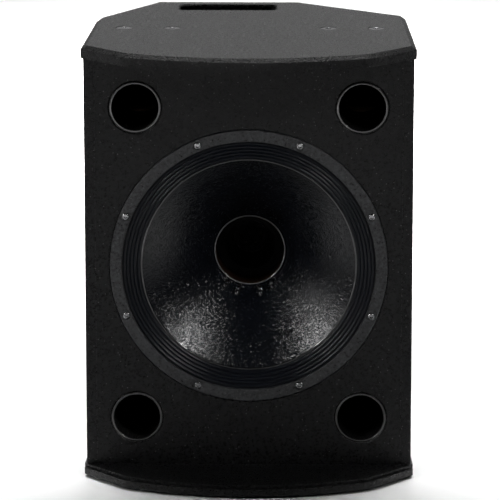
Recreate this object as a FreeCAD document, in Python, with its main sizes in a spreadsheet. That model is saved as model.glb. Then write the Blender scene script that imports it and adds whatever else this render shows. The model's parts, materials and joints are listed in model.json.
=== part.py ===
import FreeCAD, Part
import os
import re
import Sketcher

# A two-way public address speaker cabinet. Millimetres, +Z up, the front faces -Y.
# The origin is the middle of the cabinet's footprint, on the floor.
# Woofer and tweeter depths count back from the baffle's front face.

os.makedirs("parts", exist_ok=True)
doc = FreeCAD.newDocument("SpeakerCabinet")

DIMENSIONS = {
    # Enclosure, in plan
    "body_width": 370,
    "wall_thickness": 12,
    "baffle_thickness": 18,
    "baffle_front": -110,
    "shoulder_half_width": 177.5,
    "left_shoulder_back": 76,
    "right_shoulder_back": 98,
    "rear_left_edge": -112,
    "rear_right_edge": 54,
    "body_back": 197.5,
    # Top and bottom panels
    "cabinet_height": 500,
    "plate_thickness": 15,
    "plate_overhang": 2.5,
    "plate_corner_front": -113.5,
    "kink_half_width": 140,
    "kink_front": -165.5,
    "bow_front": -200,
    "chamfer_drop": 6.5,
    "chamfer_inset": 4,
    "rebate_height": 3.5,
    "rebate_depth": 5,
    # Braces and lining
    "brace_front": 38,
    "brace_depth": 25,
    "brace_height": 18,
    "brace_offset": 140,
    "lining_thickness": 20,
    "lining_bottom": 120,
    "lining_top": 380,
    "lining_margin": 30,
    # Ports
    "port_across": 127.3,
    "port_rise": 179.5,
    "port_outer_radius": 29.9,
    "port_inner_radius": 27.6,
    "port_length": 120,
    "port_hole_radius": 30,
    "port_hole_chamfer": 1,
    # Carrying handle
    "handle_across": -29,
    "handle_back": 158,
    "handle_length": 113,
    "handle_width": 40,
    "handle_corner": 6,
    "handle_lip": 2,
    "cup_depth": 48,
    "cup_wall": 2,
    "cup_flange": 10,
    "cup_flange_width": 4,
    "cup_flange_thickness": 3,
    "cup_screw_inset": 4,
    "cup_screw_radius": 1.75,
    "cup_screw_head_radius": 3.25,
    "cup_screw_head": 2.5,
    "cup_screw_length": 11,
    # M10 fixing points
    "fixing_inner_across": 89.5,
    "fixing_pitch": 55,
    "fixing_back": 9,
    "fixing_radius": 5,
    "fixing_head_radius": 9.6,
    "fixing_hole_head_radius": 10.2,
    "fixing_head_drop": 5,
    "fixing_length": 24,
    "fixing_key": 6,
    "fixing_key_depth": 3.5,
    "rigging_length": 90,
    "rigging_width": 36,
    "rigging_thickness": 6,
    "rigging_screw_across": 39,
    "rigging_screw_aside": 12,
    # Woofer basket, gasket and screws
    "driver_height": 247,
    "basket_rebate": 5,
    "basket_rebate_radius": 158.2,
    "basket_proud": 1,
    "basket_radius": 157,
    "basket_mouth_radius": 143.8,
    "basket_ledge_radius": 140.5,
    "basket_ledge_depth": 3,
    "basket_flange_back": 4,
    "basket_waist_radius": 142,
    "basket_waist_depth": 16,
    "basket_inner_depth": 12,
    "basket_wall": 4,
    "basket_cup_radius": 98,
    "basket_cup_depth": 100,
    "spider_seat_depth": 92,
    "spider_seat_inner": 79,
    "spider_seat_thickness": 4,
    "basket_foot_inner": 52,
    "basket_foot_depth": 108,
    "basket_window_inner": 104,
    "basket_window_outer": 134,
    "basket_window_angle": 40,
    "cutout_radius": 142.6,
    "gasket_inner_radius": 146,
    "gasket_outer_radius": 156,
    "ring_bolt_radius": 150.2,
    "ring_bolt_start": 22.5,
    "ring_screw_radius": 2.5,
    "ring_screw_hole": 2.8,
    "ring_screw_head_radius": 4.2,
    "ring_screw_head_hole": 4.8,
    "ring_screw_head_depth": 3.2,
    "ring_screw_proud": 0.4,
    "ring_screw_end": 24,
    "ring_screw_key": 4,
    "ring_screw_key_depth": 2.4,
    "tee_nut_radius": 4,
    "tee_nut_front": 8,
    "tee_nut_flange_radius": 7,
    "tee_nut_flange": 1.2,
    # Woofer cone assembly
    "surround_outer_radius": 143.5,
    "surround_roll_outer": 141,
    "surround_roll_inner": 123,
    "surround_thickness": 1,
    "surround_ridge": 2.4,
    "cone_rim_radius": 123.5,
    "cone_rim_inner": 121,
    "cone_rim_depth": 9,
    "cone_neck_depth": 88,
    "cone_thickness": 1.4,
    "cone_bulge": 5,
    "former_outer_radius": 40,
    "former_thickness": 0.8,
    "former_front": 84.5,
    "former_back": 127,
    "coil_thickness": 0.9,
    "coil_front": 110,
    "coil_back": 126,
    "spider_thickness": 0.8,
    "spider_outer_radius": 92,
    "spider_ridge": 2.4,
    "spider_inner_depth": 96,
    "glue_bead_radius": 2.6,
    "glue_bead_across": 51,
    "glue_bead_depth": 73.6,
    # Woofer motor
    "motor_radius": 100,
    "front_plate_depth": 113,
    "front_plate_thickness": 10,
    "front_plate_bore": 42,
    "magnet_bore": 56,
    "magnet_thickness": 22,
    "yoke_thickness": 10,
    "pole_radius": 38.2,
    "throat_front_radius": 31,
    "throat_back_radius": 21,
    "motor_bolt_radius": 3,
    "motor_bolt_head_radius": 5,
    "motor_bolt_head": 4,
    "motor_bolt_reach": 9,
    # Tweeter, behind the woofer's motor
    "throat_wall": 2,
    "throat_gap": 0.1,
    "tweeter_plate_radius": 54,
    "tweeter_plate_thickness": 8,
    "tweeter_bolt_circle": 49,
    "tweeter_bolt_radius": 2.5,
    "tweeter_bolt_head_radius": 4.2,
    "tweeter_bolt_head": 4,
    "tweeter_bolt_reach": 7,
    "housing_radius": 44,
    "housing_bore": 26.2,
    "housing_length": 27,
    "plug_nose": 9,
    "plug_nose_radius": 15,
    "plug_radius": 26,
    "plug_back": 10,
    "plug_hole_radius": 2.5,
    "plug_hole_circle": 11,
    "diaphragm_radius": 24.5,
    "diaphragm_dome_radius": 21,
    "diaphragm_gap": 2,
    "diaphragm_dome": 7,
    "diaphragm_thickness": 0.4,
    "tweeter_cover_length": 14,
    "tweeter_cover_crown": 34,
    # Connector plate on the rear panel
    "connector_height": 110,
    "connector_plate_length": 104,
    "connector_plate_width": 64,
    "connector_plate_corner": 4,
    "connector_plate_thickness": 1.5,
    "socket_pitch": 44,
    "socket_radius": 14,
    "socket_bore": 12.5,
    "socket_post": 5.5,
    "socket_post_recess": 5,
    "socket_length": 24,
    "socket_floor": 2,
    "socket_flange_radius": 17,
    "socket_flange": 1,
    "socket_hole_radius": 14.2,
    "plate_screw_inset": 6,
    "plate_screw_radius": 1.75,
    "plate_screw_head_radius": 3.2,
    "plate_screw_head": 1,
    "plate_screw_length": 9,
    # Crossover board inside the rear panel
    "board_width": 116,
    "board_height": 130,
    "board_thickness": 1.6,
    "board_bottom": 200,
    "board_gap": 8,
    "spacer_radius": 4,
    "spacer_inset": 7,
    "bass_inductor_radius": 24,
    "treble_inductor_radius": 17,
    "inductor_bore": 8,
    "inductor_length": 24,
    "capacitor_radius": 11,
    "capacitor_length": 34,
    "capacitor_pitch": 27,
    "capacitor_drop": 6,
    "resistor_width": 10,
    "resistor_length": 44,
    "resistor_pitch": 15,
}

sheet = doc.addObject("Spreadsheet::Sheet", "Dims")
for row, (alias, value) in enumerate(DIMENSIONS.items(), start=1):
    sheet.set(f"A{row}", str(value))
    sheet.setAlias(f"A{row}", alias)
doc.recompute()

parts = []


# Expressions

def terms(text):
    """An expression whose dimension names point at the sheet."""
    return re.sub(r"\b[a-z]+(?:_[a-z]+)+\b", r"Dims.\g<0>", str(text))


def bind(item, path, text):
    item.setExpression(path, terms(text))


def number(item, text):
    value = item.evalExpression(terms(text))
    return float(getattr(value, "Value", value))


def heading(start, end):
    """The direction from one plan corner to another, as an expression."""
    return f"atan2(({end[1]}) - ({start[1]}); ({end[0]}) - ({start[0]}))"


def mitred(corner, heading_in, heading_out, inward):
    """The corner moved square off both of its edges, to the right of travel."""
    mean = f"(({heading_in}) + ({heading_out})) / 2"
    half = f"(({heading_out}) - ({heading_in})) / 2"
    across = f"({corner[0]}) + ({inward}) * sin({mean}) / cos({half})"
    along = f"({corner[1]}) - ({inward}) * cos({mean}) / cos({half})"
    return (across, along)


def beside(start, end, along, inward):
    """A point measured along an edge from its start, and square off it to the right."""
    way = heading(start, end)
    across = f"({start[0]}) + ({along}) * cos({way}) + ({inward}) * sin({way})"
    back = f"({start[1]}) + ({along}) * sin({way}) - ({inward}) * cos({way})"
    return (across, back)


# Sketches

def new_body(label):
    body = doc.addObject("PartDesign::Body", label)
    body.Label = label
    body.AllowCompound = True
    parts.append(body)
    return body


def face_body(label, across="0", front="0", up="0"):
    """A body whose own Z points back into the cabinet and whose own Y points down."""
    body = new_body(label)
    body.Placement = FreeCAD.Placement(FreeCAD.Vector(), FreeCAD.Rotation(FreeCAD.Vector(1, 0, 0), -90))
    bind(body, "Placement.Base.x", across)
    bind(body, "Placement.Base.y", front)
    bind(body, "Placement.Base.z", up)
    return body


def new_sketch(body, plane="XY_Plane", lift="0", shift="0"):
    sketch = body.newObject("Sketcher::SketchObject", body.Label + "_sketch")
    support = next(item for item in body.Origin.OriginFeatures if item.Role == plane)
    sketch.AttachmentSupport = [(support, "")]
    sketch.MapMode = "FlatFace"
    bind(sketch, "AttachmentOffset.Base.x", shift)
    bind(sketch, "AttachmentOffset.Base.z", lift)
    return sketch


def fix_point(sketch, geometry, position, x, y):
    for kind, text in (("DistanceX", x), ("DistanceY", y)):
        limit = sketch.addConstraint(Sketcher.Constraint(kind, geometry, position, number(sketch, text)))
        bind(sketch, f"Constraints[{limit}]", text)


def fix_radius(sketch, geometry, radius):
    limit = sketch.addConstraint(Sketcher.Constraint("Radius", geometry, number(sketch, radius)))
    bind(sketch, f"Constraints[{limit}]", radius)


def outline(sketch, corners, arcs=None):
    """A closed outline. arcs maps a corner's index to (middle x, middle y, radius)."""
    arcs = arcs or {}
    points = [FreeCAD.Vector(number(sketch, x), number(sketch, y), 0) for x, y in corners]
    ends = []
    for index, start in enumerate(points):
        finish = points[(index + 1) % len(points)]
        if index in arcs:
            middle_x, middle_y, radius = arcs[index]
            middle = FreeCAD.Vector(number(sketch, middle_x), number(sketch, middle_y), 0)
            geometry = sketch.addGeometry(Part.Arc(start, middle, finish))
            anticlockwise = (middle - start).cross(finish - middle).z > 0
            ends.append((geometry, 1, 2) if anticlockwise else (geometry, 2, 1))
            fix_radius(sketch, geometry, radius)
        else:
            geometry = sketch.addGeometry(Part.LineSegment(start, finish))
            ends.append((geometry, 1, 2))
    for index, (x, y) in enumerate(corners):
        geometry, start, _ = ends[index]
        before, _, finish = ends[index - 1]
        sketch.addConstraint(Sketcher.Constraint("Coincident", before, finish, geometry, start))
        fix_point(sketch, geometry, start, x, y)


def circle(sketch, x, y, radius):
    centre = FreeCAD.Vector(number(sketch, x), number(sketch, y), 0)
    upright = FreeCAD.Vector(0, 0, 1)
    geometry = sketch.addGeometry(Part.Circle(centre, upright, number(sketch, radius)))
    fix_point(sketch, geometry, 3, x, y)
    fix_radius(sketch, geometry, radius)


def hexagon(sketch, x, y, across_flats):
    corners = []
    for turn in range(6):
        reach = f"({across_flats}) / sqrt(3)"
        corners.append((f"({x}) + {reach} * cos({60 * turn} deg)", f"({y}) + {reach} * sin({60 * turn} deg)"))
    outline(sketch, corners)


def rectangle(sketch, x, y, length, width, corner=None):
    half = (f"({length}) / 2", f"({width}) / 2")
    if corner is None:
        signs = ((-1, -1), (1, -1), (1, 1), (-1, 1))
        outline(sketch, [(f"({x}) + {i} * {half[0]}", f"({y}) + {j} * {half[1]}") for i, j in signs])
        return
    corners = []
    arcs = {}
    for i, j, upright_first in ((1, 1, True), (-1, 1, False), (-1, -1, True), (1, -1, False)):
        edge_x = f"({x}) + {i} * {half[0]}"
        edge_y = f"({y}) + {j} * {half[1]}"
        on_side = (edge_x, f"{edge_y} - {j} * ({corner})")
        on_end = (f"{edge_x} - {i} * ({corner})", edge_y)
        pull = f"({corner}) * (1 - sqrt(0.5))"
        arcs[len(corners)] = (f"{edge_x} - {i} * {pull}", f"{edge_y} - {j} * {pull}", corner)
        corners.extend((on_side, on_end) if upright_first else (on_end, on_side))
    outline(sketch, corners, arcs)


def sector(sketch, inner, outer, middle_angle, sweep):
    """A piece of a ring, for a window between two spokes."""
    def at(radius, angle):
        return (f"({radius}) * cos({angle})", f"({radius}) * sin({angle})")
    first = f"({middle_angle} - ({sweep}) / 2) * 1 deg"
    last = f"({middle_angle} + ({sweep}) / 2) * 1 deg"
    centre = f"{middle_angle} deg"
    corners = [at(outer, first), at(outer, last), at(inner, last), at(inner, first)]
    outline(sketch, corners, {0: (*at(outer, centre), outer), 2: (*at(inner, centre), inner)})


# Features

def finished(body, feature):
    body.Tip = feature
    return feature


def pad(body, sketch, length, back=False):
    feature = body.newObject("PartDesign::Pad", body.Label + "_pad")
    feature.Profile = sketch
    bind(feature, "Length", length)
    feature.Reversed = back
    return finished(body, feature)


def pocket(body, sketch, length, along=False):
    """A cut against the sketch's normal, or along it."""
    feature = body.newObject("PartDesign::Pocket", body.Label + "_pocket")
    feature.Profile = sketch
    bind(feature, "Length", length)
    feature.Reversed = along
    return finished(body, feature)


def revolve(body, profile, arcs=None, across="0", back="0", cut=False):
    """A turned shape about a line along the body's own Z."""
    sketch = new_sketch(body, "XZ_Plane", f"-({back})", across)
    outline(sketch, profile, arcs)
    kind = "PartDesign::Groove" if cut else "PartDesign::Revolution"
    feature = body.newObject(kind, body.Label + "_turn")
    feature.Profile = sketch
    feature.ReferenceAxis = (sketch, ["V_Axis"])
    feature.Angle = 360
    return finished(body, feature)


def circle_places(circle_radius, count, start="0"):
    places = []
    for turn in range(count):
        angle = f"({start} + {360 / count * turn}) * 1 deg"
        places.append((f"({circle_radius}) * cos({angle})", f"({circle_radius}) * sin({angle})"))
    return places


def drill(body, places, radius, front=None, depth=None):
    """Round holes along the body's own Z."""
    sketch = new_sketch(body, "XY_Plane", front or "0")
    for x, y in places:
        circle(sketch, x, y, radius)
    return pocket(body, sketch, depth)


def woofer_body(label):
    return face_body(label, "0", "baffle_front", "driver_height")


def ring(label, inner, outer, front, length):
    body = woofer_body(label)
    back = f"({front}) + ({length})"
    revolve(body, [(inner, front), (outer, front), (outer, back), (inner, back)])
    return body


def pin_profile(radius, tip, head_radius, head_back, head_front):
    return [("0", tip), (radius, tip), (radius, head_back), (head_radius, head_back),
            (head_radius, head_front), ("0", head_front)]


def pleats(outer, inner, outer_depth, inner_depth, ridge, thickness, count):
    """The profile of a pleated ring, as its front points and then its back points."""
    front = []
    for step in range(2 * count + 1):
        share = f"{step} / {2 * count}"
        lift = 0 if step in (0, 2 * count) else (1 if step % 2 else -1)
        radius = f"({outer}) + (({inner}) - ({outer})) * {share}"
        depth = f"({outer_depth}) + (({inner_depth}) - ({outer_depth})) * {share} - ({ridge}) * {lift / 2}"
        front.append((radius, depth))
    back = [(radius, f"{depth} + ({thickness})") for radius, depth in reversed(front)]
    return front, back


# The enclosure's plan, clockwise from above, from the front left corner

FRONT_LEFT = ("-body_width / 2", "baffle_front")
LEFT_SHOULDER = ("-shoulder_half_width", "left_shoulder_back")
REAR_LEFT = ("rear_left_edge", "body_back")
REAR_RIGHT = ("rear_right_edge", "body_back")
RIGHT_SHOULDER = ("shoulder_half_width", "right_shoulder_back")
FRONT_RIGHT = ("body_width / 2", "baffle_front")
CORNERS = [FRONT_LEFT, LEFT_SHOULDER, REAR_LEFT, REAR_RIGHT, RIGHT_SHOULDER, FRONT_RIGHT]
HEADINGS = [heading(start, end) for start, end in zip(CORNERS, CORNERS[1:])]
WALLS = ["left_side_panel", "left_rear_panel", "rear_panel", "right_rear_panel", "right_side_panel"]
BOW_RISE = "(kink_front - bow_front)"
BOW_RADIUS = f"(kink_half_width ^ 2 + {BOW_RISE} ^ 2) / (2 * {BOW_RISE})"
WALL_HEIGHT = "cabinet_height - 2 * plate_thickness"
LID_INSIDE = "cabinet_height - plate_thickness"


def inner_front(side, depth="0"):
    """Where a side panel's inner face meets the plane at a depth behind the baffle's front."""
    slope = HEADINGS[0] if side < 0 else HEADINGS[-1]
    run = f"(wall_thickness / sin({slope}) + ({depth}) / tan({slope}))"
    across = f"-body_width / 2 + {run}" if side < 0 else f"body_width / 2 + {run}"
    return (across, f"baffle_front + ({depth})")


def inner_corners(inward="wall_thickness"):
    middle = []
    for index in range(1, 5):
        middle.append(mitred(CORNERS[index], HEADINGS[index - 1], HEADINGS[index], inward))
    return middle


def build_walls():
    inner = [inner_front(-1), *inner_corners(), inner_front(1)]
    bodies = {}
    for index, label in enumerate(WALLS):
        body = new_body(label)
        sketch = new_sketch(body, "XY_Plane", "plate_thickness")
        outline(sketch, [CORNERS[index], CORNERS[index + 1], inner[index + 1], inner[index]])
        pad(body, sketch, WALL_HEIGHT)
        bodies[label] = body
    return bodies


def plate_outline(rebate):
    """The plan of the top and bottom panels, anticlockwise, with the front set back by rebate."""
    outer = inner_corners("-plate_overhang")
    side = "(body_width / 2 + plate_overhang)"
    end_heading = heading((f"-{side}", "plate_corner_front"), ("-kink_half_width", "kink_front"))
    bow_heading = f"-asin(kink_half_width / ({BOW_RADIUS}))"
    kink = mitred(("-kink_half_width", "kink_front"), end_heading, bow_heading, f"-({rebate})")
    mirrored_kink = (f"-({kink[0]})", kink[1])
    left = (f"-{side}", f"plate_corner_front + ({rebate})")
    right = (side, f"plate_corner_front + ({rebate})")
    corners = [left, kink, mirrored_kink, right, outer[3], outer[2], outer[1], outer[0]]
    return corners, {1: ("0", f"bow_front + ({rebate})", f"{BOW_RADIUS} - ({rebate})")}


def build_plate(label, inner_height, top):
    """A top or bottom panel: a rebated layer next to the cabinet, then the full outline."""
    body = new_body(label)
    sketch = new_sketch(body, "XY_Plane", inner_height)
    outline(sketch, *plate_outline("rebate_depth"))
    pad(body, sketch, "rebate_height", back=not top)
    sign = "+" if top else "-"
    sketch = new_sketch(body, "XY_Plane", f"{inner_height} {sign} rebate_height")
    outline(sketch, *plate_outline("0"))
    solid = pad(body, sketch, "plate_thickness - rebate_height", back=not top)
    doc.recompute()
    outer_height = DIMENSIONS["cabinet_height"] if top else 0
    rim = []
    for index, edge in enumerate(solid.Shape.Edges, start=1):
        box = edge.BoundBox
        if abs(box.ZMin - outer_height) < 1e-6 and abs(box.ZMax - outer_height) < 1e-6:
            rim.append(f"Edge{index}")
    chamfer = body.newObject("PartDesign::Chamfer", label + "_chamfer")
    chamfer.Base = (solid, rim)
    chamfer.ChamferType = "Two distances"
    bind(chamfer, "Size", "chamfer_inset")
    bind(chamfer, "Size2", "chamfer_drop")
    finished(body, chamfer)
    return body


def fixing_places():
    places = []
    for side in (-1, 1):
        for extra in ("0", "fixing_pitch"):
            places.append((f"{side} * (fixing_inner_across + {extra})", "fixing_back"))
    return places


def cut_fixings(body, outer_height, inward):
    """Countersunk holes for the fixing bolts. inward is -1 from the top and 1 from the bottom."""
    def height(drop):
        return f"({outer_height}) + {inward} * ({drop})"
    profile = [("0", height("0")), ("fixing_hole_head_radius", height("0")),
               ("fixing_radius + 0.1", height("fixing_head_drop")),
               ("fixing_radius + 0.1", height("plate_thickness")), ("0", height("plate_thickness"))]
    for across, back in fixing_places():
        revolve(body, profile, across=across, back=back, cut=True)


def build_top_and_bottom():
    top = build_plate("top_panel", LID_INSIDE, top=True)
    cut_fixings(top, "cabinet_height", -1)
    sketch = new_sketch(top, "XY_Plane", "cabinet_height")
    rectangle(sketch, "handle_across", "handle_back", "handle_length", "handle_width", "handle_corner")
    slot = pocket(top, sketch, "plate_thickness")
    doc.recompute()
    mouth = []
    for index, edge in enumerate(slot.Shape.Edges, start=1):
        box = edge.BoundBox
        near = box.YMin > DIMENSIONS["handle_back"] - DIMENSIONS["handle_width"]
        within = box.XLength <= DIMENSIONS["handle_length"] and box.YMax < DIMENSIONS["body_back"] - 10
        if near and within and box.ZMin > DIMENSIONS["cabinet_height"] - 1e-6:
            mouth.append(f"Edge{index}")
    chamfer = top.newObject("PartDesign::Chamfer", "handle_mouth_chamfer")
    chamfer.Base = (slot, mouth)
    bind(chamfer, "Size", "handle_lip")
    finished(top, chamfer)
    bottom = build_plate("bottom_panel", "plate_thickness", top=False)
    cut_fixings(bottom, "0", 1)


def build_baffle():
    body = new_body("baffle")
    sketch = new_sketch(body, "XY_Plane", "plate_thickness")
    outline(sketch, [inner_front(-1), inner_front(1),
                     inner_front(1, "baffle_thickness"), inner_front(-1, "baffle_thickness")])
    pad(body, sketch, WALL_HEIGHT)
    front = "-baffle_front"
    sketch = new_sketch(body, "XZ_Plane", front)
    for across, up in port_places():
        circle(sketch, across, up, "port_hole_radius")
    circle(sketch, "0", "driver_height", "cutout_radius")
    for x, y in circle_places("ring_bolt_radius", 8, "ring_bolt_start"):
        circle(sketch, x, f"driver_height + {y}", "tee_nut_radius")
    pocket(body, sketch, "baffle_thickness")
    sketch = new_sketch(body, "XZ_Plane", front)
    circle(sketch, "0", "driver_height", "basket_rebate_radius")
    cut = pocket(body, sketch, "basket_rebate")
    doc.recompute()
    rims = []
    for index, edge in enumerate(cut.Shape.Edges, start=1):
        curve = edge.Curve
        round_edge = isinstance(curve, Part.Circle) and abs(edge.BoundBox.YMax - DIMENSIONS["baffle_front"]) < 1e-6
        if round_edge and abs(curve.Radius - DIMENSIONS["port_hole_radius"]) < 1e-6:
            rims.append(f"Edge{index}")
    chamfer = body.newObject("PartDesign::Chamfer", "port_rim_chamfer")
    chamfer.Base = (cut, rims)
    bind(chamfer, "Size", "port_hole_chamfer")
    finished(body, chamfer)


def build_braces():
    for label, sign in (("upper_brace", 1), ("lower_brace", -1)):
        body = new_body(label)
        sketch = new_sketch(body, "XY_Plane", f"cabinet_height / 2 + {sign} * brace_offset - brace_height / 2")
        depth = "brace_front - baffle_front"
        depth_back = f"{depth} + brace_depth"
        near_left, near_right = inner_front(-1, depth), inner_front(1, depth)
        far_left, far_right = inner_front(-1, depth_back), inner_front(1, depth_back)
        outline(sketch, [near_left, near_right, far_right, far_left])
        pad(body, sketch, "brace_height")


def build_linings():
    margin = "lining_margin"
    for label, index in (("left_side_lining", 0), ("left_rear_lining", 1),
                         ("right_rear_lining", 3), ("right_side_lining", 4)):
        start, end = CORNERS[index], CORNERS[index + 1]
        length = f"sqrt((({end[0]}) - ({start[0]})) ^ 2 + (({end[1]}) - ({start[1]})) ^ 2)"
        face, back = "wall_thickness", "wall_thickness + lining_thickness"
        body = new_body(label)
        sketch = new_sketch(body, "XY_Plane", "lining_bottom")
        outline(sketch, [beside(start, end, margin, face), beside(start, end, margin, back),
                         beside(start, end, f"{length} - {margin}", back),
                         beside(start, end, f"{length} - {margin}", face)])
        pad(body, sketch, "lining_top - lining_bottom")


# Ports and handle

PORTS = {"top_left": (-1, 1), "top_right": (1, 1), "bottom_left": (-1, -1), "bottom_right": (1, -1)}


def port_places():
    return [(f"{side} * port_across", f"cabinet_height / 2 + {rise} * port_rise") for side, rise in PORTS.values()]


def build_ports():
    for label, (across, up) in zip(PORTS, port_places()):
        body = face_body(f"{label}_port_tube", across, "baffle_front", up)
        revolve(body, [("port_inner_radius + 1", "0"), ("port_outer_radius - 0.6", "0"),
                       ("port_outer_radius", "0.6"), ("port_outer_radius", "port_length"),
                       ("port_inner_radius", "port_length"), ("port_inner_radius", "1")])


def cup_screw_places():
    places = []
    for i in (-1, 1):
        for j in (-1, 1):
            reach = "handle_length / 2 + cup_wall + cup_screw_inset"
            places.append((f"handle_across + {i} * ({reach})", f"handle_back + {j} * (handle_width / 4)"))
    return places


def build_handle():
    """The moulded cup under the slot, screwed to the inside of the top panel."""
    cup = new_body("handle_cup")
    sketch = new_sketch(cup, "XY_Plane", LID_INSIDE)
    rectangle(sketch, "handle_across", "handle_back", "handle_length + 2 * (cup_wall + cup_flange)",
              "handle_width + 2 * (cup_wall + cup_flange_width)", "handle_corner")
    pad(cup, sketch, "cup_flange_thickness", back=True)
    sketch = new_sketch(cup, "XY_Plane", LID_INSIDE)
    rectangle(sketch, "handle_across", "handle_back", "handle_length + 2 * cup_wall",
              "handle_width + 2 * cup_wall", "handle_corner + cup_wall")
    pad(cup, sketch, "cup_depth", back=True)
    sketch = new_sketch(cup, "XY_Plane", LID_INSIDE)
    rectangle(sketch, "handle_across", "handle_back", "handle_length", "handle_width", "handle_corner")
    pocket(cup, sketch, "cup_depth - cup_wall")
    drill(cup, cup_screw_places(), "cup_screw_radius", LID_INSIDE, "cup_flange_thickness")
    screws = new_body("handle_cup_screws")
    underside = f"{LID_INSIDE} - cup_flange_thickness"
    profile = pin_profile("cup_screw_radius", f"{underside} + cup_screw_length", "cup_screw_head_radius",
                          underside, f"{underside} - cup_screw_head")
    for across, back in cup_screw_places():
        revolve(screws, profile, across=across, back=back)
    top = next(body for body in parts if body.Label == "top_panel")
    sketch = new_sketch(top, "XY_Plane", LID_INSIDE)
    for across, back in cup_screw_places():
        circle(sketch, across, back, "cup_screw_radius")
    pocket(top, sketch, "cup_screw_length - cup_flange_thickness", along=True)


# Fixing points

def build_fixings():
    bolts = new_body("top_fixing_bolts")
    head_back = "cabinet_height - fixing_head_drop"
    profile = [("0", "cabinet_height"), ("fixing_head_radius", "cabinet_height"),
               ("fixing_head_radius", "cabinet_height - 0.4"), ("fixing_radius", head_back),
               ("fixing_radius", "cabinet_height - fixing_length"), ("0", "cabinet_height - fixing_length")]
    for across, back in fixing_places():
        revolve(bolts, profile, across=across, back=back)
    sketch = new_sketch(bolts, "XY_Plane", "cabinet_height")
    for across, back in fixing_places():
        hexagon(sketch, across, back, "fixing_key")
    pocket(bolts, sketch, "fixing_key_depth")
    screws = new_body("rigging_plate_screws")
    for level, height, inward in (("top", LID_INSIDE, -1), ("bottom", "plate_thickness", 1)):
        for name, side in (("left", -1), ("right", 1)):
            middle = f"{side} * (fixing_inner_across + fixing_pitch / 2)"
            body = new_body(f"{name}_{level}_rigging_plate")
            sketch = new_sketch(body, "XY_Plane", height)
            rectangle(sketch, middle, "fixing_back", "rigging_length", "rigging_width", "handle_corner")
            for end in (-1, 1):
                circle(sketch, f"{middle} + {end} * fixing_pitch / 2", "fixing_back", "fixing_radius")
                circle(sketch, f"{middle} + {end} * rigging_screw_across",
                       f"fixing_back + {end} * rigging_screw_aside", "cup_screw_radius")
            pad(body, sketch, "rigging_thickness", back=inward < 0)
            face = f"({height}) + {inward} * rigging_thickness"
            for end in (-1, 1):
                profile = pin_profile("cup_screw_radius", height, "cup_screw_head_radius", face,
                                      f"{face} + {inward} * cup_screw_head")
                revolve(screws, profile, across=f"{middle} + {end} * rigging_screw_across",
                        back=f"fixing_back + {end} * rigging_screw_aside")


# Woofer

def build_basket():
    body = woofer_body("woofer_basket")
    cone_side = "basket_cup_radius - basket_wall"
    revolve(body, [
        ("basket_radius", "-basket_proud + 0.6"),
        ("basket_radius - 0.6", "-basket_proud"),
        ("basket_mouth_radius + 0.6", "-basket_proud"),
        ("basket_mouth_radius", "-basket_proud + 0.6"),
        ("basket_mouth_radius", "basket_ledge_depth"),
        ("basket_ledge_radius", "basket_ledge_depth"),
        ("basket_waist_radius - basket_wall", "basket_inner_depth"),
        (cone_side, "spider_seat_depth"),
        ("spider_seat_inner", "spider_seat_depth"),
        ("spider_seat_inner", "spider_seat_depth + spider_seat_thickness"),
        (f"{cone_side} - basket_wall", "spider_seat_depth + spider_seat_thickness"),
        (f"{cone_side} - basket_wall", "basket_foot_depth"),
        ("basket_foot_inner", "basket_foot_depth"),
        ("basket_foot_inner", "front_plate_depth"),
        ("basket_cup_radius", "front_plate_depth"),
        ("basket_cup_radius", "basket_cup_depth"),
        ("basket_waist_radius", "basket_waist_depth"),
        ("basket_waist_radius", "basket_flange_back"),
        ("basket_radius", "basket_flange_back"),
    ])
    sketch = new_sketch(body, "XY_Plane", "basket_inner_depth")
    for turn in range(6):
        sector(sketch, "basket_window_inner", "basket_window_outer", 60 * turn, "basket_window_angle")
    pocket(body, sketch, "basket_cup_depth", along=True)
    places = circle_places("ring_bolt_radius", 8, "ring_bolt_start")
    sketch = new_sketch(body, "XY_Plane", "-basket_proud")
    for x, y in places:
        circle(sketch, x, y, "ring_screw_hole")
    pocket(body, sketch, "basket_flange_back + basket_proud", along=True)
    sketch = new_sketch(body, "XY_Plane", "-basket_proud")
    for x, y in places:
        circle(sketch, x, y, "ring_screw_head_hole")
    pocket(body, sketch, "ring_screw_head_depth", along=True)
    sketch = new_sketch(body, "XY_Plane", "basket_foot_depth")
    for x, y in circle_places("(basket_foot_inner + spider_seat_inner) / 2", 6):
        circle(sketch, x, y, "motor_bolt_radius")
    pocket(body, sketch, "front_plate_depth - basket_foot_depth", along=True)
    gasket = ring("woofer_gasket", "gasket_inner_radius", "gasket_outer_radius", "basket_flange_back",
                  "basket_rebate - basket_flange_back")
    sketch = new_sketch(gasket, "XY_Plane", "basket_flange_back")
    for x, y in places:
        circle(sketch, x, y, "ring_screw_hole")
    pocket(gasket, sketch, "basket_rebate", along=True)


def build_ring_screws():
    places = circle_places("ring_bolt_radius", 8, "ring_bolt_start")
    screws = woofer_body("woofer_screws")
    head_front = "-basket_proud - ring_screw_proud"
    head_back = "ring_screw_head_depth - basket_proud"
    profile = pin_profile("ring_screw_radius", "ring_screw_end", "ring_screw_head_radius", head_back, head_front)
    for across, down in places:
        revolve(screws, profile, across=across, back=down)
    sketch = new_sketch(screws, "XY_Plane", head_front)
    for across, down in places:
        hexagon(sketch, across, down, "ring_screw_key")
    pocket(screws, sketch, "ring_screw_key_depth", along=True)
    nuts = woofer_body("woofer_tee_nuts")
    bore = "ring_screw_radius"
    flange_back = "baffle_thickness + tee_nut_flange"
    for across, down in places:
        revolve(nuts, [(bore, "tee_nut_front"), ("tee_nut_radius", "tee_nut_front"),
                       ("tee_nut_radius", "baffle_thickness"), ("tee_nut_flange_radius", "baffle_thickness"),
                       ("tee_nut_flange_radius", flange_back), (bore, flange_back)], across=across, back=down)


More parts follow.
